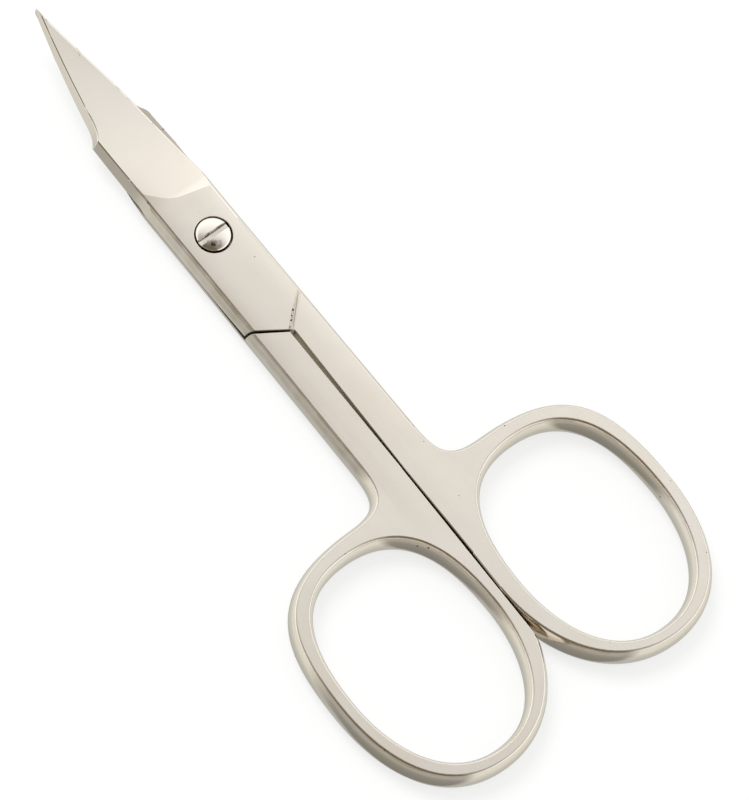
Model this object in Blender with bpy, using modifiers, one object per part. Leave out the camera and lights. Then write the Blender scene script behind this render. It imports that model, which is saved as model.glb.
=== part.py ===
# Manicure scissors with curved tower-point blades, 3.5 in long.
# Two drop-forged halves cross at a slotted pivot screw. The part lies on its back, closed:
# +Y to the tips, +X to the finger loop of the front half, +Z up out of the lap, the pivot on the
# Z axis and the lowest flat at z = 0.

import math

import bmesh
import bpy
from mathutils import Matrix, Vector

mm = 0.001
deg = math.pi / 180

# Thickness of the forging
lapThickness = 3.5 * mm           # both laps together, where the halves cross
shankThickness = 3.3 * mm         # shanks and loops, ground a little lower than the lap
lapGap = 0.1 * mm                 # running gap between the two laps
forgedHeight = 3.82 * mm          # full height of the rounded side before the flats are ground
sideRounding = 1.05 * mm          # how far the rounded side reaches in from the outline

# Lap and shanks, from the pivot
lapHalfWidth = 3.75 * mm
shankHalfWidth = 3.93 * mm
lapApexBack = 12.4 * mm           # from the pivot back to the point of the V
shoulderAngle = 34 * deg          # arm of the V where a lap ends against the other shank
stepAngle = 32.4 * deg            # step of that shank, a little flatter, so that the gap is a wedge
shoulderGap = 0.16 * mm           # that gap at the point of the V
reliefBack = 5.2 * mm             # laps part from here back to the shoulder
lapRelief = 0.3 * mm              # as far as this, each, at the point of the V
rampAngle = 42.5 * deg            # line where a lap runs down to its own shank
rampFootBack = 12.8 * mm          # foot of the ramp, on the middle line
rampWidth = 0.43 * mm
slitWideHalf = 0.24 * mm          # half of the slit between the shanks, at the lap
slitNarrowHalf = 0.08 * mm        # half of the slit further back, and between the loops
slitNarrowBack = 30 * mm          # where it has narrowed
slitLean = 0.66 * deg             # the slit leans towards the rear half's loop
innerStock = 0.78 * mm            # forging past the middle, which the slit is milled from

# Fillet from shank to loop
filletLength = 4.8 * mm           # along the shank, up to the top of the loop
filletDropShare = 0.79
filletRunShare = 0.84

# Outside of the finger loop
loopTopBack = 31.9 * mm           # from the pivot back to the top of the loop
loopLength = 27.9 * mm
loopWidth = 21.2 * mm             # from the middle line to the outside
loopTopShare = 0.392              # top and end of the loop, as shares of its width
loopEndShare = 0.507
loopOuterShare = 0.505            # widest place, as a share of the loop's length
loopInnerShare = 0.484            # where the loop leaves the slit
topRunShare = 0.81
topFallShare = 0.68
outerFallShare = 0.51
outerRunShare = 0.72
innerRunShare = 0.58
innerRiseShare = 0.58

# Hole of the finger loop, from the metal left round it
innerWall = 2.05 * mm             # from the middle line
outerWall = 2.1 * mm
topWall = 2.42 * mm
endWall = 1.98 * mm
holeTopShare = 0.85
holeEndShare = 0.74
holeUpShare = 0.50
holeDownShare = 0.45

# Blade, from the pivot
bladeReach = 28.8 * mm
tipHalfWidth = 0.18 * mm
frontSpineReach = 3.4 * mm        # where the front spine leaves the side of the forging
frontWaistReach = 6.9 * mm        # and where its first taper ends
frontWaistHalfWidth = 3.62 * mm   # spine to middle there
frontStepReach = 14.5 * mm        # where the front spine is ground away to the point
frontStepHalfWidth = 3.72 * mm    # spine to middle there
frontFootHalfWidth = 2.8 * mm     # and at the foot of the step
rearSpineReach = 6.0 * mm         # where the rear spine leaves the side of the forging
rearStepReach = 14.2 * mm
rearStepHalfWidth = 3.51 * mm
rearFootHalfWidth = 2.68 * mm
rearStepRound = 0.8 * mm          # the rear step is rounded over
spineStartWiden = 0.35 * mm       # from the flat of the lap out to the forging's side
spineStepFoot = 2.0 * mm          # length of the ground step
spineBow = 0.13 * mm              # bow of the ground spine between the step and the tip
spineLean = 16 * deg
edgeStartReach = 0.5 * mm         # where the bevel begins to nick the outer face of the lap
edgeHeelReach = 6.8 * mm          # where the cutting edge begins
edgeHeelHalfWidth = 3.86 * mm
edgeMidReach = 18.0 * mm
edgeMidHalfWidth = 2.39 * mm
edgeLean = 22 * deg               # cutting bevel, from square to the face
facePlaneReach = 4.3 * mm         # where the ground outer face would leave the lap, on the middle line
faceStartReach = 5.1 * mm         # where the grinding wheel enters, on the middle line
faceStartLean = 13.6 * deg        # that line slants back towards the cutting edge
faceStartCurl = 2.8 * mm          # and curls forward at the spine with this radius: the smile
faceRunOut = 7 * mm               # radius of the grinding wheel's run-out
faceEntryRise = 0.03 * mm         # run-out starts this high above the lap
faceTiltAcross = 2.2 * deg        # ground face falls towards the cutting edge
tipThickness = 0.8 * mm
dishStartReach = 5.0 * mm         # blades curve up from here
dishRadius = 85 * mm
hollowRadius = 24 * mm            # hollow grinding of the inner face
hollowDepth = 0.13 * mm
hollowStartReach = 8.0 * mm
hollowEndReach = 25.5 * mm

# Pivot screw and its holes
headDiameter = 3.56 * mm
headHeight = 0.75 * mm
headProud = 0.14 * mm             # rim of the head above the lap
headDome = 0.16 * mm
headEdge = 0.12 * mm
slotWidth = 0.52 * mm
slotDepth = 0.42 * mm
shoulderDiameter = 2.4 * mm
threadDiameter = 2.0 * mm
recessClearance = 0.15 * mm       # round the head
boreClearance = 0.06 * mm         # round the shoulder and the thread
tailChamfer = 0.15 * mm

overrun = 2.0 * mm                # how far a cutter passes what it cuts
stationStep = 1.6 * mm            # spacing of the cross lines on the curved blade
weldDistance = 0.002 * mm
outlineSteps = 28                 # points per span of an outline
roundingSteps = 7                 # steps round the forging's side
faceStrips = 24                   # strips across the ground face
roundSides = 64
sharpAngle = 25 * deg             # edges sharper than this stay crisp

# Worked out from the sizes above
midGap = lapGap / 2
lapHalf = lapThickness / 2
shankHalf = shankThickness / 2
filletStartBack = loopTopBack - filletLength
loopEndBack = loopTopBack + loopLength
loopTopX = loopWidth * loopTopShare
loopEndX = loopWidth * loopEndShare
loopOuterBack = loopTopBack + loopLength * loopOuterShare
loopInnerBack = loopTopBack + loopLength * loopInnerShare
holeWidth = loopWidth - outerWall - innerWall
holeLength = loopLength - topWall - endWall
holeX = innerWall + holeWidth / 2
holeBack = loopTopBack + topWall + holeLength / 2
far = loopEndBack + overrun
recessDiameter = headDiameter + 2 * recessClearance


def clearScene():
    for thing in list(bpy.data.objects):
        bpy.data.objects.remove(thing, do_unlink=True)


def newCollection(name):
    made = bpy.data.collections.new(name)
    bpy.context.scene.collection.children.link(made)
    return made


def metal(name, colour, roughness):
    made = bpy.data.materials.new(name)
    made.use_nodes = True
    shader = made.node_tree.nodes["Principled BSDF"]
    shader.inputs["Base Color"].default_value = (*colour, 1)
    shader.inputs["Metallic"].default_value = 1
    shader.inputs["Roughness"].default_value = roughness
    return made


def addObject(name, mesh, home):
    made = bpy.data.objects.new(name, mesh)
    home.objects.link(made)
    return made


def asMesh(source, name, home):
    # The evaluated shape as a plain mesh, welded, in place of the source
    bpy.context.view_layer.update()
    graph = bpy.context.evaluated_depsgraph_get()
    mesh = bpy.data.meshes.new_from_object(source.evaluated_get(graph))
    place = source.matrix_world.copy()
    bpy.data.objects.remove(source, do_unlink=True)
    made = addObject(name, mesh, home)
    made.matrix_world = place
    work = bmesh.new()
    work.from_mesh(mesh)
    bmesh.ops.remove_doubles(work, verts=work.verts, dist=weldDistance)
    bmesh.ops.recalc_face_normals(work, faces=work.faces)
    work.to_mesh(mesh)
    work.free()
    return made


def outline(name, splines, home, thickness=0.0, rounding=0.0):
    # A flat outline in XY from Bezier points (place, handle before, handle after)
    data = bpy.data.curves.new(name, "CURVE")
    data.dimensions = "2D"
    data.fill_mode = "BOTH"
    data.extrude = thickness / 2
    data.bevel_depth = rounding
    data.bevel_resolution = roundingSteps
    data.offset = -rounding
    data.resolution_u = outlineSteps
    for points in splines:
        spline = data.splines.new("BEZIER")
        spline.bezier_points.add(len(points) - 1)
        spline.use_cyclic_u = True
        for point, (place, before, after) in zip(spline.bezier_points, points):
            point.co = Vector((*place, 0))
            point.handle_left = Vector((place[0] + before[0], place[1] + before[1], 0))
            point.handle_right = Vector((place[0] + after[0], place[1] + after[1], 0))
            point.handle_left_type = "FREE" if any(before) else "VECTOR"
            point.handle_right_type = "FREE" if any(after) else "VECTOR"
    return asMesh(addObject(name, data, home), name, home)


def corner(x, y):
    return ((x, y), (0, 0), (0, 0))


def prism(name, corners, bottom, top, home):
    # A straight-sided block over a flat polygon, from bottom to top
    data = bpy.data.curves.new(name, "CURVE")
    data.dimensions = "2D"
    data.fill_mode = "BOTH"
    data.extrude = (top - bottom) / 2
    spline = data.splines.new("POLY")
    spline.points.add(len(corners) - 1)
    spline.use_cyclic_u = True
    for point, place in zip(spline.points, corners):
        point.co = (*place, 0, 1)
    made = asMesh(addObject(name, data, home), name, home)
    made.data.transform(Matrix.Translation((0, 0, (top + bottom) / 2)))
    return made


def bisect(work, place, normal, verts, edges, faces):
    bmesh.ops.bisect_plane(work, geom=verts + edges + faces, dist=weldDistance, plane_co=place,
                           plane_no=normal)


def shearAcross(thing, lean):
    # Leans an upright wall over, about its line at the inner face
    for vert in thing.data.vertices:
        vert.co.x += (vert.co.z - midGap) * math.tan(lean)


def cut(thing, cutters, operation="DIFFERENCE"):
    for cutter in cutters:
        cutter.hide_render = True
        cutter.display_type = "WIRE"
        step = thing.modifiers.new(cutter.name, "BOOLEAN")
        step.operation = operation
        step.solver = "EXACT"
        step.object = cutter
    return thing


# Outline of the forging
def forgingSplines():
    stockTop = bladeReach + overrun
    stockFoot = -lapApexBack - overrun
    fall = loopTopBack - filletStartBack
    run = loopTopX - shankHalfWidth
    topRun = loopWidth - loopTopX
    topFall = loopOuterBack - loopTopBack
    outerFall = loopEndBack - loopOuterBack
    outerRun = loopWidth - loopEndX
    innerRun = loopEndX + innerStock
    innerRise = loopEndBack - loopInnerBack
    around = [
        corner(lapHalfWidth, stockTop),
        corner(lapHalfWidth, 0),
        ((shankHalfWidth, -filletStartBack), (0, 0), (0, -fall * filletDropShare)),
        ((loopTopX, -loopTopBack), (-run * filletRunShare, 0), (topRun * topRunShare, 0)),
        ((loopWidth, -loopOuterBack), (0, topFall * topFallShare), (0, -outerFall * outerFallShare)),
        ((loopEndX, -loopEndBack), (outerRun * outerRunShare, 0), (-innerRun * innerRunShare, 0)),
        ((-innerStock, -loopInnerBack), (0, -innerRise * innerRiseShare), (0, 0)),
        corner(-innerStock, stockFoot),
        corner(-lapHalfWidth, stockFoot),
        corner(-lapHalfWidth, stockTop),
    ]
    halfWidth = holeWidth / 2
    halfLength = holeLength / 2
    hole = [
        ((holeX + halfWidth, -holeBack), (0, -halfLength * holeDownShare), (0, halfLength * holeUpShare)),
        ((holeX, -holeBack + halfLength), (halfWidth * holeTopShare, 0), (-halfWidth * holeTopShare, 0)),
        ((holeX - halfWidth, -holeBack), (0, halfLength * holeUpShare), (0, -halfLength * holeDownShare)),
        ((holeX, -holeBack - halfLength), (-halfWidth * holeEndShare, 0), (halfWidth * holeEndShare, 0)),
    ]
    return [around, hole]


def forging(name, home):
    # The blank with its rounded sides, stretched to the forged height
    made = outline(name, forgingSplines(), home, rounding=sideRounding)
    made.data.transform(Matrix.Diagonal((1, 1, forgedHeight / (2 * sideRounding), 1)))
    return made


def flatCutters(home):
    # Grinding of the flats: lap and blade, back of the shank, and the shank's lower face with its ramp
    over = [(-far, -far), (far, -far), (far, far), (-far, far)]
    lapTop = prism("lap_flat", over, lapHalf, forgedHeight, home)
    backFlat = prism("back_flat", over, -forgedHeight, -shankHalf, home)
    profile = [(-far, shankHalf), (0, shankHalf), (rampWidth, lapHalf), (rampWidth, forgedHeight),
               (-far, forgedHeight)]
    shankTop = prism("shank_flat", profile, -far, far, home)
    # The profile's x runs square to the ramp line towards the lap, its y up, its length along the line
    across = Vector((-math.sin(rampAngle), math.cos(rampAngle), 0))
    along = Vector((math.cos(rampAngle), math.sin(rampAngle), 0))
    turn = Matrix((across, Vector((0, 0, 1)), along)).transposed().to_4x4()
    place = Matrix.Translation((0, -rampFootBack, 0))
    shankTop.data.transform(place @ turn)
    return [lapTop, backFlat, shankTop]


def slitCutter(home, lean):
    # Everything on the other half's side of the slit, below the lap's own arm of the V
    rise = math.tan(shoulderAngle)
    narrowShift = (slitNarrowBack - lapApexBack) * math.tan(lean)
    farShift = (far - lapApexBack) * math.tan(lean)
    corners = [
        (slitWideHalf, -lapApexBack - slitWideHalf * rise),
        (slitNarrowHalf - narrowShift, -slitNarrowBack),
        (slitNarrowHalf - farShift, -far),
        (-far, -far),
        (-far, -lapApexBack + far * rise),
    ]
    return prism("slit", corners, -forgedHeight, forgedHeight, home)


def lapCutter(home):
    # Room for the other half's lap, down to the step where this half's shank begins
    rise = math.tan(stepAngle)
    start = -lapApexBack - shoulderGap
    corners = [(-far, start - far * rise), (far, start + far * rise), (far, far + far * rise),
               (-far, far + far * rise)]
    made = prism("lap_room", corners, -forgedHeight, midGap, home)
    slope = lapRelief / (lapApexBack - reliefBack)
    work = bmesh.new()
    work.from_mesh(made.data)
    bisect(work, (0, -reliefBack, 0), (0, 1, 0), work.verts[:], work.edges[:], work.faces[:])
    for vert in work.verts:
        if vert.co.z > 0 and vert.co.y < -reliefBack:
            vert.co.z += (-reliefBack - vert.co.y) * slope
    work.to_mesh(made.data)
    work.free()
    return made


def faceCutter(home):
    # Outer face of the blade: a straight fall to the tip, entered by the run-out of a wheel
    fall = (lapHalf - midGap - tipThickness) / (bladeReach - facePlaneReach)
    tilt = math.tan(faceTiltAcross)
    side = lapHalfWidth + overrun
    steps = 6
    rings = []
    for i in range(faceStrips + 1):
        x = side * (2 * i / faceStrips - 1)
        start = faceStartReach - x * math.tan(faceStartLean) + min(x, 0) ** 2 / (2 * faceStartCurl)
        depth = max(fall * (start - facePlaneReach) + tilt * x, 0)
        meet = start + math.sqrt(2 * faceRunOut * depth)
        entry = math.sqrt(2 * faceRunOut * (depth + faceEntryRise))
        ring = []
        for j in range(steps + 1):
            back = entry * (1 - j / steps)
            height = -fall * (meet - back - facePlaneReach) - tilt * x + back ** 2 / (2 * faceRunOut)
            ring.append((x, meet - back, lapHalf + height))
        past = bladeReach + overrun
        ring.append((x, past, lapHalf - fall * (past - facePlaneReach) - tilt * x))
        ring.append((x, past, lapHalf + forgedHeight))
        ring.append((x, meet - entry, lapHalf + forgedHeight))
        rings.append(ring)
    work = bmesh.new()
    rings = [[work.verts.new(place) for place in ring] for ring in rings]
    for ring, beside in zip(rings, rings[1:]):
        for j in range(len(ring)):
            k = (j + 1) % len(ring)
            work.faces.new((ring[j], ring[k], beside[k], beside[j]))
    work.faces.new(rings[0])
    work.faces.new(rings[-1])
    bmesh.ops.recalc_face_normals(work, faces=work.faces)
    bmesh.ops.triangulate(work, faces=work.faces)
    mesh = bpy.data.meshes.new("face")
    work.to_mesh(mesh)
    work.free()
    return addObject("face", mesh, home)


def spineCutter(home, start, waist, stepReach, stepHalfWidth, footHalfWidth, stepRound):
    # Ground away from the spine: a slight taper, the step, then a bowed line to the tip
    footReach = stepReach + spineStepFoot
    length = bladeReach - footReach
    narrowing = footHalfWidth - tipHalfWidth
    ahead = Vector((narrowing, length)).normalized()
    out = Vector((-ahead.y, ahead.x))
    third = length / 3
    startHandle = Vector((stepHalfWidth - footHalfWidth, spineStepFoot / 2)) / 2
    if stepRound:
        startHandle = Vector((0, stepRound))
    bend = ahead * third + out * spineBow
    back = -ahead * third + out * spineBow
    past = overrun * ahead
    points = [
        corner(-lapHalfWidth - sideRounding, start),
        corner(-lapHalfWidth - spineStartWiden, start),
        *[corner(-halfWidth, reach) for reach, halfWidth in waist],
        ((-stepHalfWidth, stepReach), (0, -stepRound), startHandle[:]),
        ((-footHalfWidth, footReach), (-ahead.x * spineStepFoot / 2, -ahead.y * spineStepFoot / 2),
         (bend.x, bend.y)),
        ((-tipHalfWidth, bladeReach), (back.x, back.y), (0, 0)),
        corner(-tipHalfWidth + past.x, bladeReach + past.y),
        corner(-far, bladeReach + past.y),
        corner(-far, start),
    ]
    made = outline("spine", [points], home, thickness=2 * forgedHeight)
    shearAcross(made, spineLean)
    return made


def edgeCutter(home):
    # Ground away from the cutting edge, with the cutting bevel
    leanRun = lapHalf * math.tan(edgeLean)
    first = Vector((lapHalfWidth + leanRun, edgeStartReach))
    heel = Vector((edgeHeelHalfWidth, edgeHeelReach))
    middle = Vector((edgeMidHalfWidth, edgeMidReach))
    last = Vector((tipHalfWidth, bladeReach))
    heelWay = (middle - first).normalized() * (heel.y - first.y) / 3
    midWay = (last - heel).normalized() * (last.y - middle.y) / 3
    past = last + (last - middle).normalized() * overrun
    points = [
        (first[:], (0, 0), (heel - first)[:]),
        (heel[:], (-heelWay)[:], heelWay[:]),
        (middle[:], (-midWay)[:], midWay[:]),
        (last[:], (-midWay)[:], (0, 0)),
        corner(past.x, past.y),
        corner(far, past.y),
        corner(far, edgeStartReach),
    ]
    made = outline("edge", [points], home, thickness=2 * forgedHeight)
    shearAcross(made, -edgeLean)
    return made


def tipCutter(home):
    corners = [(-far, bladeReach), (far, bladeReach), (far, far), (-far, far)]
    return prism("tip", corners, -forgedHeight, forgedHeight, home)


def hollowCutter(home):
    # A shallow hollow in the inner face, which fades out before the tip
    length = hollowEndReach - hollowStartReach
    bpy.ops.mesh.primitive_cylinder_add(vertices=4 * roundSides, radius=hollowRadius, depth=length)
    made = bpy.context.object
    made.name = "hollow"
    for owner in list(made.users_collection):
        owner.objects.unlink(made)
    home.objects.link(made)
    lie = Matrix.Rotation(-math.pi / 2, 4, "X")
    nose = Matrix.Rotation(-math.atan(hollowDepth / length), 4, "X")
    middle = Vector((0, hollowStartReach + length / 2, midGap - hollowRadius + hollowDepth / 2))
    made.data.transform(Matrix.Translation(middle) @ nose @ lie)
    return made


def turned(name, profile, home):
    # A closed turned solid from a profile that runs from the axis at the top, out and down to the axis
    data = bpy.data.meshes.new(name)
    work = bmesh.new()
    verts = [work.verts.new((radius, 0, z)) for radius, z in profile]
    for one, other in zip(verts, verts[1:]):
        work.edges.new((one, other))
    work.to_mesh(data)
    work.free()
    made = addObject(name, data, home)
    spin = made.modifiers.new("turn", "SCREW")
    spin.axis = "Z"
    spin.steps = roundSides
    spin.render_steps = roundSides
    spin.use_merge_vertices = True
    spin.merge_threshold = weldDistance
    return asMesh(made, name, home)


def holeCutters(name, bore, home, recess=0.0):
    # Straight bore, and a flat-bottomed recess for the head
    profile = [(0, forgedHeight), (bore / 2, forgedHeight), (bore / 2, -forgedHeight), (0, -forgedHeight)]
    made = [turned(name + "_bore", profile, home)]
    if recess:
        floor = lapHalf + headProud - headHeight - boreClearance
        made.append(turned(name + "_recess", [(0, forgedHeight), (recess / 2, forgedHeight),
                                              (recess / 2, floor), (0, floor)], home))
    return made


def dish(thing):
    # Cross lines over the blade, then the blade lifted along a round dish about the pivot axis
    work = bmesh.new()
    work.from_mesh(thing.data)
    lines = int((bladeReach - dishStartReach) / stationStep) + 1
    for i in range(lines):
        reach = dishStartReach + i * stationStep
        bisect(work, (0, reach, 0), (0, 1, 0), work.verts[:], work.edges[:], work.faces[:])
    for side in (-2, -1, 0, 1, 2):
        faces = [face for face in work.faces if face.calc_center_median().y > dishStartReach]
        edges = list({edge for face in faces for edge in face.edges})
        verts = list({vert for face in faces for vert in face.verts})
        bisect(work, (side * lapHalfWidth / 3, 0, 0), (1, 0, 0), verts, edges, faces)
    for vert in work.verts:
        reach = math.hypot(vert.co.x, vert.co.y)
        if vert.co.y > 0 and reach > dishStartReach:
            vert.co.z += (reach - dishStartReach) ** 2 / (2 * dishRadius)
    bmesh.ops.remove_doubles(work, verts=work.verts, dist=weldDistance)
    bmesh.ops.dissolve_degenerate(work, dist=weldDistance, edges=work.edges)
    bmesh.ops.triangulate(work, faces=work.faces)
    work.to_mesh(thing.data)
    work.free()


def smooth(thing):
    thing.data.shade_smooth()
    thing.data.set_sharp_from_angle(angle=sharpAngle)


def scissorHalf(name, bore, spine, home, cutterHome, recess=0.0, turnOver=False):
    # One half as it lies with its loop on the right and its lap on top
    lean = -slitLean if turnOver else slitLean
    made = forging(name, home)
    cutters = flatCutters(cutterHome)
    cutters += [slitCutter(cutterHome, lean), lapCutter(cutterHome), faceCutter(cutterHome),
                spineCutter(cutterHome, *spine), edgeCutter(cutterHome),
                tipCutter(cutterHome), hollowCutter(cutterHome)]
    cutters += holeCutters(name, bore, cutterHome, recess)
    cut(made, cutters)
    made = asMesh(made, name, home)
    for cutter in cutters:
        cutter.name = name + "_" + cutter.name
    if turnOver:
        made.data.transform(Matrix.Rotation(math.pi, 4, "Y"))
    dish(made)
    made.data.transform(Matrix.Translation((0, 0, lapHalf)))
    smooth(made)
    return made


def pivotScrew(name, home, cutterHome):
    # Slotted head with a low dome, plain shoulder through the front lap, thread in the rear lap
    head = headDiameter / 2
    rim = lapThickness + headProud
    under = rim - headHeight
    shoulder = shoulderDiameter / 2
    seat = lapHalf + midGap
    thread = threadDiameter / 2
    domeSteps = 5
    domeRim = head - headEdge
    profile = []
    for i in range(domeSteps + 1):
        share = i / domeSteps
        profile.append((domeRim * share, rim + headDome * (1 - share * share)))
    profile += [(head, rim - headEdge), (head, under), (shoulder, under), (shoulder, seat),
                (thread, seat), (thread, tailChamfer), (thread - tailChamfer, 0), (0, 0)]
    made = turned(name, profile, home)
    slotTop = rim + headDome + overrun
    slotFloor = rim + headDome - slotDepth
    corners = [(-head - overrun, -slotWidth / 2), (head + overrun, -slotWidth / 2),
               (head + overrun, slotWidth / 2), (-head - overrun, slotWidth / 2)]
    slot = prism("screw_slot", corners, slotFloor, slotTop, cutterHome)
    cut(made, [slot])
    made = asMesh(made, name, home)
    smooth(made)
    return made


clearScene()
scissors = newCollection("manicure_scissors")
cutterHome = newCollection("cutters")

frontSpine = (frontSpineReach, [(frontWaistReach, frontWaistHalfWidth)], frontStepReach,
              frontStepHalfWidth, frontFootHalfWidth, 0.0)
rearSpine = (rearSpineReach, [], rearStepReach, rearStepHalfWidth, rearFootHalfWidth, rearStepRound)
frontHalf = scissorHalf("front_blade_half", shoulderDiameter + 2 * boreClearance, frontSpine, scissors,
                        cutterHome, recess=recessDiameter)
rearHalf = scissorHalf("rear_blade_half", threadDiameter + 2 * boreClearance, rearSpine, scissors,
                       cutterHome, turnOver=True)
screw = pivotScrew("pivot_screw", scissors, cutterHome)

polishedNickel = metal("Polished nickel on forged steel", (0.74, 0.70, 0.65), 0.22)
turnedNickel = metal("Turned nickel", (0.78, 0.75, 0.70), 0.16)
frontHalf.data.materials.append(polishedNickel)
rearHalf.data.materials.append(polishedNickel)
screw.data.materials.append(turnedNickel)

# The front half swings on the pivot's empty; the screw turns with the rear half
pivot = addObject("pivot", None, scissors)
frontHalf.parent = pivot
screw.parent = rearHalf
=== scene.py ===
import math

import bmesh
import bpy
from mathutils import Matrix, Vector


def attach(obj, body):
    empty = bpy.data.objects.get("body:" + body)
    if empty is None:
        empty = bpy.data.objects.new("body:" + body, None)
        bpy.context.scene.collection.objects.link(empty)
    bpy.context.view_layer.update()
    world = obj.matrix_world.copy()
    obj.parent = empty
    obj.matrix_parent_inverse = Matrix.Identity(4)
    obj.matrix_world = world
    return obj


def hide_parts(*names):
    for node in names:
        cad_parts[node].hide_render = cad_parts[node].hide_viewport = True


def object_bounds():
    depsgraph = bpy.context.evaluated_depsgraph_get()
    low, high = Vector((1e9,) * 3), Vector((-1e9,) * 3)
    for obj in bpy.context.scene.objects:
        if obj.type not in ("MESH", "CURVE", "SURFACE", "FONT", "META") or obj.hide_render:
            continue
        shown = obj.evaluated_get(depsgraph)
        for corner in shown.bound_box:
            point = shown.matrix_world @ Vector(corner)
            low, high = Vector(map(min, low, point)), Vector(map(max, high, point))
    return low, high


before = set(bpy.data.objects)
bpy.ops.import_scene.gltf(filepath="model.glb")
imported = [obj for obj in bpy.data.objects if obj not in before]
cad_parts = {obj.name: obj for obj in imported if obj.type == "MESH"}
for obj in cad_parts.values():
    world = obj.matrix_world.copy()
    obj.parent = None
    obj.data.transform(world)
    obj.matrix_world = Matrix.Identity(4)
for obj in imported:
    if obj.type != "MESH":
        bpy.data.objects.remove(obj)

mm = 0.001
cadBox = [list(corner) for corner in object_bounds()]
print("frame loaded:", ", ".join(sorted(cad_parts)))


def hexColour(code):
    # sRGB hex to linear
    shares = [int(code[i:i + 2], 16) / 255 for i in (1, 3, 5)]
    return [s / 12.92 if s <= 0.04045 else ((s + 0.055) / 1.055) ** 2.4 for s in shares] + [1]


def addNode(tree, kind, settings=None, links=None):
    # One node, its settings (properties or socket values) and what feeds it
    node = tree.nodes.new(kind)
    for key, value in (settings or {}).items():
        if isinstance(key, int) or key in node.inputs:
            node.inputs[key].default_value = value
        else:
            setattr(node, key, value)
    for key, source in (links or {}).items():
        tree.links.new(source, node.inputs[key])
    return node


# Camera
view = {
    "aim": (3.27 * mm, -22.21 * mm, 0),
    "azimuth": -59.47,        # degrees round from -Y, towards +X
    "elevation": 66.8,
    "roll": 22.0,
    "distance": 690 * mm,
    "lens": 315.2,
    "sensor": 36,
    "near": 0.01,
    "far": 20,
}


def makeCamera():
    data = bpy.data.cameras.new("productCamera")
    data.lens = view["lens"]
    data.sensor_width = view["sensor"]
    data.clip_start = view["near"]
    data.clip_end = view["far"]
    made = bpy.data.objects.new("productCamera", data)
    bpy.context.scene.collection.objects.link(made)
    azimuth = math.radians(view["azimuth"])
    elevation = math.radians(view["elevation"])
    back = Vector((math.sin(azimuth) * math.cos(elevation), -math.cos(azimuth) * math.cos(elevation),
                   math.sin(elevation)))
    turn = back.to_track_quat("Z", "Y").to_matrix() @ Matrix.Rotation(math.radians(view["roll"]), 3, "Z")
    made.matrix_world = Matrix.Translation(Vector(view["aim"]) + back * view["distance"]) @ turn.to_4x4()
    bpy.context.scene.camera = made


# Studio
studio = {
    "floorSize": 3.0,
    "floorGap": 0.03 * mm,    # the table lies this far under the scissors
    "floorColour": "#fdfdfc",
    "white": "#ffffff",
    "shadowShare": 0.26,      # of the light on the floor that the camera sees; the rest is an even white
    "evenWhite": 0.97,
    "ambient": 0.8,
    "softbox": {"size": 0.5, "place": (-0.03, 0.57, 0.95), "power": 6.5},
}

# What the polished metal mirrors: the inside of a white light tent, open and dim on the camera's side,
# with the pale table below. The stops of its sides are a height (the Z of the direction), a brightness
# share and a tint.
tent = {
    "radius": 2.5,
    "segments": 64,
    "rings": 32,
    "strength": 1.5,
    "opening": (-0.339, -0.2, 0.919),
    "closedStops": ((-1.0, 0.38, "#f8faf4"), (-0.85, 0.46, "#f8faf4"), (-0.6, 0.62, "#f8faf4"),
                    (-0.4, 0.70, "#f8faf4"), (-0.1, 0.68, "#fafcf8"), (0.05, 0.84, "#fafdff"),
                    (0.25, 0.93, "#fafdff"), (0.6, 1.0, "#fafdff")),
    "openStops": ((-1.0, 0.20, "#f5f4ea"), (-0.75, 0.24, "#f5f4ea"), (-0.5, 0.28, "#f7f6f0"),
                  (-0.3, 0.37, "#f9f7f2"), (-0.14, 0.37, "#fbf9f0"), (-0.04, 0.24, "#f4e6c8"),
                  (0.3, 0.22, "#f4e6c8"), (0.6, 0.15, "#f0dcb8")),
    # cosine of the bearing from the opening's, and how far the open side shows there
    "bearingStops": ((0.60, 0.0), (0.74, 1.0)),
    # cosine of the angle from the opening, brightness share and tint
    "roofStops": ((0.50, 1.0), (0.637, 0.85), (0.675, 0.765), (0.70, 0.715), (0.715, 0.67),
                  (0.73, 0.61, "#fffcf9"), (0.752, 0.53, "#fffaf5"), (0.866, 0.24, "#fff6ea"),
                  (0.93, 0.11, "#fff0dc"), (0.97, 0.06, "#fff0dc")),
}


def tentShade(tree, factor, stops):
    # What the tent shows along a factor, from stops of (position, share) or (position, share, tint)
    ramp = addNode(tree, "ShaderNodeValToRGB", None, {"Fac": factor})
    elements = ramp.color_ramp.elements
    while len(elements) < len(stops):
        elements.new(0.5)
    for element, (position, share, *tint) in zip(elements, stops):
        element.position = position
        colour = hexColour(tint[0] if tint else studio["white"])
        element.color = [share * part for part in colour[:3]] + [1]
    return ramp.outputs["Color"]


def emptyMaterial(name):
    made = bpy.data.materials.new(name)
    made.use_nodes = True
    made.node_tree.nodes.clear()
    return made


def makeFloor():
    floorHeight = cadBox[0][2] - studio["floorGap"]
    bpy.ops.mesh.primitive_plane_add(size=studio["floorSize"], location=(0, 0, floorHeight))
    floor = bpy.context.object
    floor.name = "tableTop"
    floor.visible_glossy = False       # the tent's lower half stands in for it there
    material = emptyMaterial("Pale table top")
    tree = material.node_tree
    forCamera = addNode(tree, "ShaderNodeLightPath").outputs["Is Camera Ray"]
    even = addNode(tree, "ShaderNodeMath", {"operation": "MULTIPLY", 1: 1 - studio["shadowShare"]},
                   {0: forCamera}).outputs[0]
    paint = addNode(tree, "ShaderNodeBsdfDiffuse", {"Color": hexColour(studio["floorColour"])}).outputs[0]
    glow = addNode(tree, "ShaderNodeEmission", {"Color": hexColour(studio["white"]),
                                                "Strength": studio["evenWhite"]}).outputs[0]
    both = addNode(tree, "ShaderNodeMixShader", None, {0: even, 1: paint, 2: glow}).outputs[0]
    addNode(tree, "ShaderNodeOutputMaterial", None, {"Surface": both})
    floor.data.materials.append(material)


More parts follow.
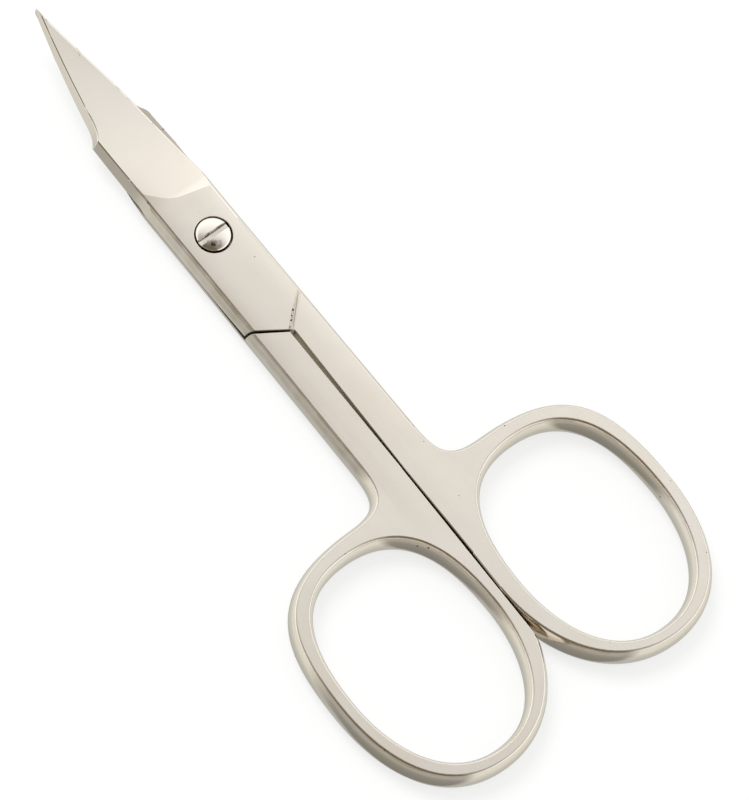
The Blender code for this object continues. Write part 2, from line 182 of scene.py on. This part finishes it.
def makeTent():
    bpy.ops.mesh.primitive_uv_sphere_add(segments=tent["segments"], ring_count=tent["rings"],
                                         radius=tent["radius"])
    dome = bpy.context.object
    dome.name = "lightTent"
    dome.visible_camera = dome.visible_diffuse = dome.visible_shadow = False
    material = emptyMaterial("Lit tent cloth")
    tree = material.node_tree
    place = addNode(tree, "ShaderNodeTexCoord").outputs["Object"]
    way = addNode(tree, "ShaderNodeVectorMath", {"operation": "NORMALIZE"}, {0: place}).outputs[0]
    height = addNode(tree, "ShaderNodeSeparateXYZ", None, {"Vector": way}).outputs["Z"]
    heightShare = addNode(tree, "ShaderNodeMapRange", {"From Min": -1.0, "From Max": 1.0},
                          {"Value": height}).outputs["Result"]
    level = addNode(tree, "ShaderNodeVectorMath", {"operation": "MULTIPLY", 1: (1, 1, 0)},
                    {0: way}).outputs[0]
    bearing = addNode(tree, "ShaderNodeVectorMath", {"operation": "NORMALIZE"}, {0: level}).outputs[0]
    across = Vector((*tent["opening"][:2], 0)).normalized()
    toOpening = addNode(tree, "ShaderNodeVectorMath", {"operation": "DOT_PRODUCT", 1: across},
                        {0: bearing}).outputs["Value"]
    nearness = addNode(tree, "ShaderNodeVectorMath", {"operation": "DOT_PRODUCT", 1: tent["opening"]},
                       {0: way}).outputs["Value"]
    closedSide, openSide = (
        tentShade(tree, heightShare, [((height + 1) / 2, *rest) for height, *rest in tent[key]])
        for key in ("closedStops", "openStops"))
    roof = tentShade(tree, nearness, tent["roofStops"])
    mask = tentShade(tree, toOpening, tent["bearingStops"])
    darkened = addNode(tree, "ShaderNodeMix", {"data_type": "RGBA", "blend_type": "MULTIPLY", "Factor": 1.0},
                       {6: closedSide, 7: roof}).outputs[2]
    sides = addNode(tree, "ShaderNodeMix", {"data_type": "RGBA"},
                    {"Factor": mask, 6: darkened, 7: openSide}).outputs[2]
    glow = addNode(tree, "ShaderNodeEmission", {"Strength": tent["strength"]}, {"Color": sides})
    addNode(tree, "ShaderNodeOutputMaterial", None, {"Surface": glow.outputs[0]})
    dome.data.materials.append(material)


def makeWorld():
    # White for the camera and in mirrors and glass, an even light on everything else
    world = bpy.data.worlds.new("Studio")
    bpy.context.scene.world = world
    world.use_nodes = True
    tree = world.node_tree
    tree.nodes.clear()
    path = addNode(tree, "ShaderNodeLightPath")
    white, light = (addNode(tree, "ShaderNodeBackground", {"Color": hexColour(studio["white"]),
                                                           "Strength": strength}).outputs[0]
                    for strength in (1.0, studio["ambient"]))
    seen = path.outputs["Is Camera Ray"]
    for ray in ("Is Glossy Ray", "Is Transmission Ray"):
        seen = addNode(tree, "ShaderNodeMath", {"operation": "MAXIMUM"},
                       {0: seen, 1: path.outputs[ray]}).outputs[0]
    both = addNode(tree, "ShaderNodeMixShader", None, {0: seen, 1: light, 2: white}).outputs[0]
    addNode(tree, "ShaderNodeOutputWorld", None, {"Surface": both})


def makeSoftbox():
    box = studio["softbox"]
    data = bpy.data.lights.new("softbox", "AREA")
    data.shape = "SQUARE"
    data.size = box["size"]
    data.energy = box["power"]
    made = bpy.data.objects.new("softbox", data)
    bpy.context.scene.collection.objects.link(made)
    made.visible_glossy = False
    place = Vector(box["place"])
    aim = Vector((0, view["aim"][1], 0))
    turn = (place - aim).to_track_quat("Z", "Y").to_matrix()
    made.matrix_world = Matrix.Translation(place) @ turn.to_4x4()


# Marks lie between two points and take in this height, and so far above and below it. "grain" is the
# size of their patches, and "gaps" the noise values where a patch begins and where it is full.
onLap = (3.45 * mm, 0.3 * mm)
onHead = (3.6 * mm, 0.5 * mm)

# On the ramp between lap and shank, painted shade: a dotted dark line in its crease, a darker line above,
# and a greyer band between them
rampPaintedShade = (
    {"start": (-0.09 * mm, -12.17 * mm), "end": (1.73 * mm, -10.54 * mm), "width": 0.2 * mm,
     "height": onLap, "grain": 0.2 * mm, "gaps": (0.46, 0.54), "share": 0.92},
    {"start": (0.2 * mm, -12.38 * mm), "end": (3.02 * mm, -9.64 * mm), "width": 0.09 * mm,
     "height": onLap, "grain": 2 * mm, "gaps": (0.2, 0.45), "share": 0.4},
    {"start": (0.1 * mm, -12.25 * mm), "end": (2.8 * mm, -9.75 * mm), "width": 0.34 * mm,
     "height": onLap, "grain": 1.5 * mm, "gaps": (0.1, 0.5), "share": 0.14},
)
# Painted shade on the screw: along the slot's upper wall, and a patch below it
screwPaintedShade = (
    {"start": (-1.6 * mm, 0.3 * mm), "end": (1.65 * mm, 0.26 * mm), "width": 0.2 * mm,
     "height": onHead, "grain": 0.7 * mm, "gaps": (0.32, 0.52), "share": 0.75},
    {"start": (-1.0 * mm, -0.6 * mm), "end": (-0.1 * mm, -1.22 * mm), "width": 0.66 * mm,
     "height": onHead, "grain": 0.45 * mm, "gaps": (0.32, 0.6), "share": 0.95},
)

# What all the nickel has in common
nickel = {
    "tarnish": "#dccfb8",
    "tarnishShare": 0.35,
    "tarnishSize": 7 * mm,
    "tarnishGaps": (0.35, 0.75),     # noise values of the cleanest and of the most tarnished patches
    "polishGaps": (0.3, 0.7),        # noise values of the smoothest and of the roughest lines
    "paintedShadeReach": 0.45 * mm,       # painted shade lies in joints as narrow as this
    "dirtAndShadeRough": 0.4,             # painted shade, specks and marks make the surface this much rougher
    "speckBlur": 0.4,                # specks and marks fade over this share of their radius
    "markBlur": 0.3,
}

# The finishes. "lines" is how far apart the polishing lines lie along X, Y and Z; they are drawn two or
# three times coarser than an abrasive leaves them, which would be too fine to show. The dark colour for
# corners is painted shade, and its pair of occlusion values says how closed a corner is where it is full, or
# free of it.

# Ground on a belt: smooth with faint lines, so the light slides across the flats
beltFinish = {
    "name": "Nickel plate over belt-ground flats",
    "colour": "#e0d8ce",
    "pattern": "straight",
    "roughness": 0.16,
    "spread": 0.03,
    "lines": (0.3 * mm, 5 * mm, 1 * mm),
    "lineDepth": 0.001 * mm,
    "waveSize": 4 * mm,
    "waveDepth": 0.012 * mm,
    "speckSpacing": 2.6 * mm,
    "speckRadius": 0.05 * mm,
    "paintedShade": "#1d1712",
    "paintedShadeShare": 0.9,
    "paintedShadeOpen": (0.22, 0.55),
    "marks": rampPaintedShade,
}
# Tumbled and buffed by hand: lengthwise streaks and small nicks on the rounded sides
tumbledFinish = {
    "name": "Nickel plate over tumbled forging",
    "colour": "#e0d8ce",
    "pattern": "straight",
    "roughness": 0.13,
    "spread": 0.05,
    "lines": (7 * mm, 7 * mm, 0.55 * mm),
    "lineDepth": 0.035 * mm,
    "waveSize": 2.5 * mm,
    "waveDepth": 0.03 * mm,
    "speckSpacing": 2.2 * mm,
    "speckRadius": 0.10 * mm,
    "paintedShade": "#1d1712",
    "paintedShadeShare": 0.9,
    "paintedShadeOpen": (0.22, 0.55),
    "marks": (),
}
# Milled and left alone: dull and grey. On the ramp, which takes this finish too, the grey colour is painted
# shade
jointFinish = {
    "name": "Nickel plate over milled joint faces",
    "colour": "#c9c0b4",
    "pattern": "straight",
    "roughness": 0.38,
    "spread": 0.08,
    "lines": (0.3 * mm, 3 * mm, 3 * mm),
    "lineDepth": 0.004 * mm,
    "waveSize": 2 * mm,
    "waveDepth": 0.004 * mm,
    "speckSpacing": 1.2 * mm,
    "speckRadius": 0.08 * mm,
    "paintedShade": "#1d1712",
    "paintedShadeShare": 1.0,
    "paintedShadeOpen": (0.22, 0.55),
    "marks": rampPaintedShade,
}
# Ground on a wheel: round lines across the blade, as far as the smile
wheelFinish = {
    "name": "Nickel plate over wheel-ground blade",
    "colour": "#e0d8ce",
    "pattern": "wheel",
    "wheelRound": 6.4 * mm,          # radius of the lines
    "roughness": 0.17,
    "spread": 0.03,
    "lines": (6 * mm, 0.3 * mm, 6 * mm),
    "lineDepth": 0.0012 * mm,
    "waveSize": 5 * mm,
    "waveDepth": 0.01 * mm,
    "speckSpacing": 3.0 * mm,
    "speckRadius": 0.05 * mm,
    "paintedShade": "#1d1712",
    "paintedShadeShare": 0.9,
    "paintedShadeOpen": (0.22, 0.55),
    "marks": (),
}
# Sawn lengthwise, with painted shade in it: darkest where the slit is narrow
slitFinish = {
    "name": "Nickel plate over sawn slit",
    "colour": "#d8d0c4",
    "pattern": "straight",
    "roughness": 0.3,
    "spread": 0.08,
    "lines": (3 * mm, 4 * mm, 0.4 * mm),
    "lineDepth": 0.006 * mm,
    "waveSize": 2 * mm,
    "waveDepth": 0.004 * mm,
    "speckSpacing": 1.5 * mm,
    "speckRadius": 0.08 * mm,
    "paintedShade": "#1d1712",
    "paintedShadeShare": 0.45,
    "paintedShadeOpen": (0.1, 0.4),
    "marks": (),
}
# Turned and polished: rings, and sharper reflections than on the forgings
turnedFinish = {
    "name": "Nickel plate over turned steel",
    "colour": "#e2dbd2",
    "pattern": "turned",
    "roughness": 0.08,
    "spread": 0.03,
    "lines": (0.14 * mm, 1 * mm, 1 * mm),
    "lineDepth": 0.0012 * mm,
    "waveSize": 0.8 * mm,
    "waveDepth": 0.008 * mm,
    "speckSpacing": 0.9 * mm,
    "speckRadius": 0.04 * mm,
    "paintedShade": "#3b2a19",
    "paintedShadeShare": 0.85,
    "paintedShadeOpen": (0.3, 0.8),
    "marks": screwPaintedShade,
}


def markShare(tree, place, mark):
    # How much of a mark lies here
    start, end = (Vector((*mark[key], mark["height"][0])) for key in ("start", "end"))
    along = (end - start).normalized()
    across = Vector((-along.y, along.x, 0))
    away = addNode(tree, "ShaderNodeVectorMath", {"operation": "SUBTRACT", 1: (start + end) / 2},
                   {0: place}).outputs[0]
    grain = addNode(tree, "ShaderNodeTexNoise", {"Scale": 1 / mark["grain"], "Detail": 1.0},
                    {"Vector": place}).outputs["Fac"]
    share = addNode(tree, "ShaderNodeMapRange", {"From Min": mark["gaps"][0], "From Max": mark["gaps"][1],
                                                 "To Max": mark["share"]}, {"Value": grain}).outputs["Result"]
    for way, reach in ((along, (end - start).length / 2), (across, mark["width"] / 2),
                       (Vector((0, 0, 1)), mark["height"][1])):
        far = addNode(tree, "ShaderNodeVectorMath", {"operation": "DOT_PRODUCT", 1: way / reach},
                      {0: away}).outputs["Value"]
        off = addNode(tree, "ShaderNodeMath", {"operation": "ABSOLUTE"}, {0: far}).outputs[0]
        inside = addNode(tree, "ShaderNodeMapRange", {"From Min": 1 - nickel["markBlur"],
                                                      "From Max": 1 + nickel["markBlur"],
                                                      "To Min": 1.0, "To Max": 0.0},
                         {"Value": off}).outputs["Result"]
        share = addNode(tree, "ShaderNodeMath", {"operation": "MULTIPLY"}, {0: share, 1: inside}).outputs[0]
    return share


def linePlace(tree, place, look):
    # Where the pattern's lines are measured: straight, across the wheel's arcs, or out from the axis
    if look["pattern"] == "straight":
        return place
    parts = addNode(tree, "ShaderNodeSeparateXYZ", None, {"Vector": place}).outputs
    if look["pattern"] == "wheel":
        squared = addNode(tree, "ShaderNodeMath", {"operation": "MULTIPLY"},
                          {0: parts["X"], 1: parts["X"]}).outputs[0]
        bend = -1 / (2 * look["wheelRound"])
        bent = addNode(tree, "ShaderNodeMath", {"operation": "MULTIPLY_ADD", 1: bend},
                       {0: squared, 2: parts["Y"]}).outputs[0]
        return addNode(tree, "ShaderNodeCombineXYZ", None,
                       {"X": parts["X"], "Y": bent, "Z": parts["Z"]}).outputs[0]
    flat = addNode(tree, "ShaderNodeCombineXYZ", None, {"X": parts["X"], "Y": parts["Y"]}).outputs[0]
    ring = addNode(tree, "ShaderNodeVectorMath", {"operation": "LENGTH"}, {0: flat}).outputs["Value"]
    return addNode(tree, "ShaderNodeCombineXYZ", None, {"X": ring, "Z": parts["Z"]}).outputs[0]


def nickelMaterial(look):
    made = bpy.data.materials.new(look["name"])
    made.use_nodes = True
    tree = made.node_tree
    shader = tree.nodes["Principled BSDF"]
    shader.inputs["Metallic"].default_value = 1
    place = addNode(tree, "ShaderNodeTexCoord").outputs["Object"]

    stretched = addNode(tree, "ShaderNodeVectorMath", {"operation": "DIVIDE", 1: look["lines"]},
                        {0: linePlace(tree, place, look)}).outputs[0]
    lineNoise = addNode(tree, "ShaderNodeTexNoise", {"Scale": 1.0, "Detail": 3.0, "Roughness": 0.55},
                        {"Vector": stretched}).outputs["Fac"]
    waveNoise = addNode(tree, "ShaderNodeTexNoise", {"Scale": 1 / look["waveSize"], "Detail": 1.0},
                        {"Vector": place}).outputs["Fac"]
    stain = addNode(tree, "ShaderNodeTexNoise", {"Scale": 1 / nickel["tarnishSize"], "Detail": 4.0},
                    {"Vector": place}).outputs["Fac"]

    # Dirt specks, and painted shade: in corners, from the occlusion, and the listed marks on ramp and screw
    spots = addNode(tree, "ShaderNodeTexVoronoi", {"Scale": 1 / look["speckSpacing"]}, {"Vector": place})
    speckSize = look["speckRadius"] / look["speckSpacing"]
    speck = addNode(tree, "ShaderNodeMapRange", {"From Min": (1 - nickel["speckBlur"]) * speckSize,
                                                 "From Max": (1 + nickel["speckBlur"]) * speckSize,
                                                 "To Min": 1.0, "To Max": 0.0},
                    {"Value": spots.outputs["Distance"]}).outputs["Result"]
    # Painted shade: the more closed the occlusion finds a corner, the darker the plate is painted there
    hollow = addNode(tree, "ShaderNodeAmbientOcclusion", {"samples": 8, "Distance": nickel["paintedShadeReach"]})
    paintedShade = addNode(tree, "ShaderNodeMapRange", {"From Min": look["paintedShadeOpen"][0],
                                                   "From Max": look["paintedShadeOpen"][1],
                                                   "To Min": look["paintedShadeShare"], "To Max": 0.0},
                      {"Value": hollow.outputs["AO"]}).outputs["Result"]
    dirtAndPaintedShade = paintedShade
    for other in (speck, *(markShare(tree, place, mark) for mark in look["marks"])):
        dirtAndPaintedShade = addNode(tree, "ShaderNodeMath", {"operation": "MAXIMUM"}, {0: dirtAndPaintedShade, 1: other}).outputs[0]

    stainShare = addNode(tree, "ShaderNodeMapRange", {"From Min": nickel["tarnishGaps"][0],
                                                      "From Max": nickel["tarnishGaps"][1],
                                                      "To Max": nickel["tarnishShare"]},
                         {"Value": stain}).outputs["Result"]
    plate = addNode(tree, "ShaderNodeMix", {"data_type": "RGBA", 6: hexColour(look["colour"]),
                                            7: hexColour(nickel["tarnish"])},
                    {"Factor": stainShare}).outputs[2]
    colour = addNode(tree, "ShaderNodeMix", {"data_type": "RGBA", 7: hexColour(look["paintedShade"])},
                     {"Factor": dirtAndPaintedShade, 6: plate}).outputs[2]
    polish = addNode(tree, "ShaderNodeMapRange", {"From Min": nickel["polishGaps"][0],
                                                  "From Max": nickel["polishGaps"][1],
                                                  "To Min": look["roughness"] - look["spread"],
                                                  "To Max": look["roughness"] + look["spread"]},
                     {"Value": lineNoise}).outputs["Result"]
    rough = addNode(tree, "ShaderNodeMath", {"operation": "MULTIPLY_ADD", 1: nickel["dirtAndShadeRough"]},
                    {0: dirtAndPaintedShade, 2: polish}).outputs[0]
    waves = addNode(tree, "ShaderNodeBump", {"Distance": look["waveDepth"]}, {"Height": waveNoise}).outputs[0]
    fine = addNode(tree, "ShaderNodeBump", {"Distance": look["lineDepth"]},
                   {"Height": lineNoise, "Normal": waves}).outputs[0]
    tree.links.new(colour, shader.inputs["Base Color"])
    tree.links.new(rough, shader.inputs["Roughness"])
    tree.links.new(fine, shader.inputs["Normal"])
    return made


# Shape of the finished pieces
finish = {
    "weld": 0.0005 * mm,
    "flatAngle": 0.25,          # faces flatter than this to each other become one face
    "sharpAngle": 25,           # edges sharper than this are broken
    "bladeAngle": 110,          # but the cutting edges, sharper still, are kept
    "outerEdge": 0.12 * mm,
    "jointEdge": 0.07 * mm,     # slit, joint, bores and screw
    "edgeSegments": 4,
    "edgeProfile": 0.5,
    "smoothAngle": 42,          # faces of a side this close to each other are shaded as one
    "creaseAngle": 2.5,         # and flats this close
    "levelNormal": 0.95,        # flats are faces whose normal has a larger Z
    "slopeStep": 0.01 * mm,     # slopes are measured over this distance both ways
}
zoneOf = {"flat": 0, "side": 1, "joint": 2, "blade": 3, "slit": 4}      # as forgingNickel below
half = {
    "middle": 1.75 * mm,        # height of the parting plane
    "flatHalf": 1.7 * mm,       # from there to the flats
    "innerReach": 0.6 * mm,     # inner faces lie this close to it
    "boreReach": 2.3 * mm,      # bores and recess
    "slitHalf": 0.9 * mm,       # the slit's walls lie this close to the middle line
    "slitEnd": -46 * mm,
    "shoulderEnd": -14 * mm,
    "levelNormal": 0.9,         # Z of the normal of faces that lie flat,
    "rampNormal": 0.995,        # tilt more than the flats, as the ramp does,
    "groundNormal": 0.9997,     # tilt at all, as the blade's ground face does,
    "wallNormal": 0.5,          # or stand up
    "gridStep": 0.6 * mm,       # cross lines of the curved mesh
    "gridSide": 8.1 * mm,       # the crown has straightened out here
}
dish = {"start": 5.0 * mm, "radius": 85 * mm}       # blades curve up, round the pivot
crown = {                       # flats of lap and shanks are ground a little round
    "slope": 0.042,             # where they meet the side
    "reach": 3.3 * mm,          # as far out as this
    "power": 2.0,
    "fade": 1.6 * mm,
    "lean": 0.016,              # and lean a little towards the left
    "front": (5 * mm, 12 * mm),        # the crown ends in front of the lap
    "back": (-16 * mm, -35 * mm),      # and between the loops
}
head = {
    "rim": 3.64 * mm,                  # height of its rim
    "radius": 1.66 * mm,
    "dome": 0.16 * mm,
    "offCentre": (0.005 * mm, 0.045 * mm),
    "gridStep": 0.3 * mm,
}


def ease(value, none, full):
    share = min(max((value - none) / (full - none), 0), 1)
    return share * share * (3 - 2 * share)


def dishHeight(x, y):
    reach = math.hypot(x, y)
    if y <= 0 or reach <= dish["start"]:
        return 0
    return (reach - dish["start"]) ** 2 / (2 * dish["radius"])


def crownDrop(x, y):
    out = min(abs(x), crown["reach"])
    slope = crown["slope"] * (out / crown["reach"]) ** crown["power"]
    drop = slope * out / (crown["power"] + 1)
    drop += slope * crown["fade"] * (1 - math.exp((out - abs(x)) / crown["fade"])) - crown["lean"] * x
    drop *= ease(y, crown["front"][1], crown["front"][0]) * ease(y, crown["back"][1], crown["back"][0])
    # The outer face of the blade is straight across
    return drop + dishHeight(x, y) - dishHeight(0, y)


def forgingHeight(x, y, z):
    # Height in the finished forging of a point of the flat one
    lift = (z - half["middle"]) * (1 - crownDrop(x, y) / half["flatHalf"])
    return half["middle"] + lift + dishHeight(x, y)


def headHeight(x, y, z):
    # The dome stays high and falls off towards its rim
    if z < head["rim"] - finish["weld"]:
        return z
    share = min(math.hypot(x, y) / head["radius"], 1)
    return z + head["dome"] * (share ** 2 - share ** 3)


def finishedNormal(heightOf, place, normal):
    # The normal turns with the surface as its points go to their finished heights
    x, y, z = place
    step = finish["slopeStep"]
    slopeX = (heightOf(x + step, y, z) - heightOf(x - step, y, z)) / (2 * step)
    slopeY = (heightOf(x, y + step, z) - heightOf(x, y - step, z)) / (2 * step)
    up = normal.z / (1 - crownDrop(x, y) / half["flatHalf"]) if heightOf == forgingHeight else normal.z
    return Vector((normal.x - slopeX * up, normal.y - slopeY * up, up)).normalized()


def surfaceZone(face):
    # Which finish a face of the flat forging has
    centre = face.calc_center_median()
    upright = abs(face.normal.z)
    level, wall = upright > half["levelNormal"], upright < half["wallNormal"]
    nearMiddle = abs(centre.z - half["middle"]) < half["innerReach"]
    if level and nearMiddle and centre.y > half["shoulderEnd"]:
        return zoneOf["joint"]
    if math.hypot(centre.x, centre.y) < half["boreReach"] and wall:
        return zoneOf["joint"]
    if half["slitEnd"] < centre.y < half["shoulderEnd"] and abs(centre.x) < half["slitHalf"] and wall:
        return zoneOf["slit"]
    if half["shoulderEnd"] < centre.y < 0 and wall and abs(face.normal.y) > half["wallNormal"]:
        return zoneOf["joint"]
    if level and upright < half["rampNormal"] and centre.y < 0:
        return zoneOf["joint"]
    if centre.y > dish["start"] and upright < half["groundNormal"]:
        return zoneOf["blade"]
    return zoneOf["flat"] if level else zoneOf["side"]


def breakEdges(work):
    # Crisp edges broken, as tumbling and buffing leave them
    limit = math.radians(finish["flatAngle"])
    bmesh.ops.dissolve_limit(work, angle_limit=limit, verts=work.verts[:], edges=work.edges[:])
    for width in ("outerEdge", "jointEdge"):
        crisp = []
        for edge in work.edges:
            if len(edge.link_faces) != 2 or not edge.is_convex:
                continue
            if not finish["sharpAngle"] < math.degrees(edge.calc_face_angle()) < finish["bladeAngle"]:
                continue
            joint = any(surfaceZone(face) in (zoneOf["joint"], zoneOf["slit"]) for face in edge.link_faces)
            if joint == (width == "jointEdge"):
                crisp.append(edge)
        bmesh.ops.bevel(work, geom=crisp, offset=finish[width], offset_type="OFFSET", affect="EDGES",
                        segments=finish["edgeSegments"], profile=finish["edgeProfile"], clamp_overlap=False)


def keepNormals(work):
    # Corner normals weighted by area, so that a flat stays flat right up to its broken edge
    layer = work.loops.layers.float_vector.new("flatNormal")
    sideLimit = math.cos(math.radians(finish["smoothAngle"]))
    flatLimit = math.cos(math.radians(finish["creaseAngle"]))
    work.normal_update()
    area = {face: face.calc_area() for face in work.faces}
    level = {face: abs(face.normal.z) > finish["levelNormal"] for face in work.faces}
    for face in work.faces:
        for loop in face.loops:
            total = Vector()
            for other in loop.vert.link_faces:
                limit = flatLimit if level[face] and level[other] else sideLimit
                if other.normal.dot(face.normal) > limit:
                    total += other.normal * area[other]
            loop[layer] = total.normalized() if total.length else face.normal


def crossLines(work, step, start, side):
    # Lines over the piece, so that it can take its curves
    reach = max(vert.co.y for vert in work.verts)
    planes = [((0, start + i * step, 0), (0, 1, 0)) for i in range(int((reach - start) / step) + 1)]
    planes += [((i * step, 0, 0), (1, 0, 0)) for i in range(-int(side / step), int(side / step) + 1)]
    for place, normal in planes:
        bmesh.ops.bisect_plane(work, geom=work.verts[:] + work.edges[:] + work.faces[:], dist=finish["weld"],
                               plane_co=place, plane_no=normal)


def finishedPiece(node, body, name, heightOf):
    forged = heightOf == forgingHeight
    work = bmesh.new()
    work.from_mesh(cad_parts[node].data)
    bmesh.ops.remove_doubles(work, verts=work.verts, dist=finish["weld"])
    if forged:
        for vert in work.verts:
            vert.co.z -= dishHeight(vert.co.x, vert.co.y)
    breakEdges(work)
    keepNormals(work)
    for face in work.faces:
        face.material_index = surfaceZone(face) if forged else 0
    if forged:
        crossLines(work, half["gridStep"], dish["start"] - half["gridStep"], half["gridSide"])
    else:
        crossLines(work, head["gridStep"], -head["radius"], head["radius"])
    layer = work.loops.layers.float_vector["flatNormal"]
    normals = [finishedNormal(heightOf, loop.vert.co, Vector(loop[layer]))
               for face in work.faces for loop in face.loops]
    for vert in work.verts:
        vert.co.z = heightOf(*vert.co)
    mesh = bpy.data.meshes.new(name)
    work.to_mesh(mesh)
    work.free()
    mesh.attributes.remove(mesh.attributes["flatNormal"])
    mesh.shade_smooth()
    mesh.normals_split_custom_set(normals)
    made = bpy.data.objects.new(name, mesh)
    bpy.context.scene.collection.objects.link(made)
    if not forged:
        made.location = (*head["offCentre"], 0)
    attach(made, body)
    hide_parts(node)
    return made


makeCamera()
makeFloor()
makeTent()
makeWorld()
makeSoftbox()
print("studio ready")

forgingNickel = [nickelMaterial(look) for look in (beltFinish, tumbledFinish, jointFinish, wheelFinish,
                                                     slitFinish)]
screwNickel = [nickelMaterial(turnedFinish)]
print("materials ready:", len(forgingNickel + screwNickel))

for node, body, name, slot, heightOf, materials in (
        ("front_blade_half", "front_half", "front_half_forging", "front_half", forgingHeight, forgingNickel),
        ("rear_blade_half", "rear_half", "rear_half_forging", "rear_half", forgingHeight, forgingNickel),
        ("pivot_screw", "rear_half", "slotted_screw", "screw", headHeight, screwNickel)):
    piece = finishedPiece(node, body, name, heightOf)
    for material in materials:
        piece.data.materials.append(material)
    print(name, len(piece.data.polygons), "faces")

bpy.context.scene.view_settings.view_transform = "Standard"
